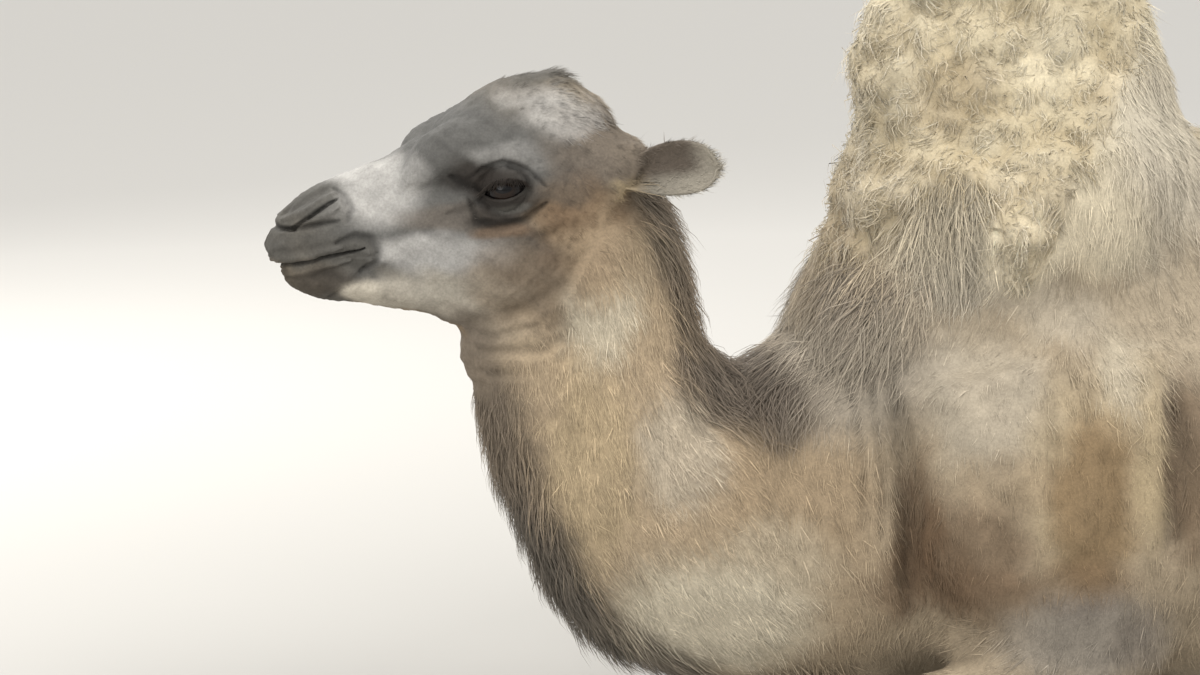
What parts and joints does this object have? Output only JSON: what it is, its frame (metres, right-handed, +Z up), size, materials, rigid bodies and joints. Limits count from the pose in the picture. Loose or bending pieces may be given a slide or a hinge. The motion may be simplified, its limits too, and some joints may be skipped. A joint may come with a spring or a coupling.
{
  "type": "young bactrian camel lying model",
  "caption": "Life-size still model of a young two-humped camel lying on its chest with folded legs, head raised, woolly humps and a short summer coat.",
  "frame": {"origin": "on the floor, under the middle of the camel's length and width", "axes": "the camel faces -X, its left side is towards -Y, +Z is up"},
  "size_m": [1.6224, 0.5626, 0.9307],
  "materials": {
    "coat_fawn": "short fawn to grey-brown hair, matte, with longer guard hair on throat, nape and withers",
    "coat_grey": "very short soft grey face hair, matte",
    "wool_cream": "long curly cream wool in clumps, shedding",
    "ear_brown": "short brown hair with a pale fringe",
    "eye_dark": "wet dark brown eye",
    "nail_horn": "dull dark horn"
  },
  "bodies": {
    "root": {"barrel": "coat_fawn", "chest": "coat_fawn", "ear_left": "ear_brown", "ear_right": "ear_brown", "eye_left": "eye_dark", "eye_right": "eye_dark", "foreleg_left_foot": "coat_fawn", "foreleg_left_forearm": "coat_fawn", "foreleg_left_upper": "coat_fawn", "foreleg_right_foot": "coat_fawn", "foreleg_right_forearm": "coat_fawn", "foreleg_right_upper": "coat_fawn", "front_hump": "wool_cream", "head": "coat_grey", "hindleg_left_foot": "coat_fawn", "hindleg_left_gaskin": "coat_fawn", "hindleg_left_thigh": "coat_fawn", "hindleg_right_foot": "coat_fawn", "hindleg_right_gaskin": "coat_fawn", "hindleg_right_thigh": "coat_fawn", "lower_jaw": "coat_grey", "nail_fore_left_inner": "nail_horn", "nail_fore_left_outer": "nail_horn", "nail_fore_right_inner": "nail_horn", "nail_fore_right_outer": "nail_horn", "nail_hind_left_inner": "nail_horn", "nail_hind_left_outer": "nail_horn", "nail_hind_right_inner": "nail_horn", "nail_hind_right_outer": "nail_horn", "neck_lower": "coat_fawn", "neck_upper": "coat_fawn", "rear_hump": "wool_cream", "rump": "coat_fawn", "tail": "coat_fawn"}
  },
  "joints": []
}
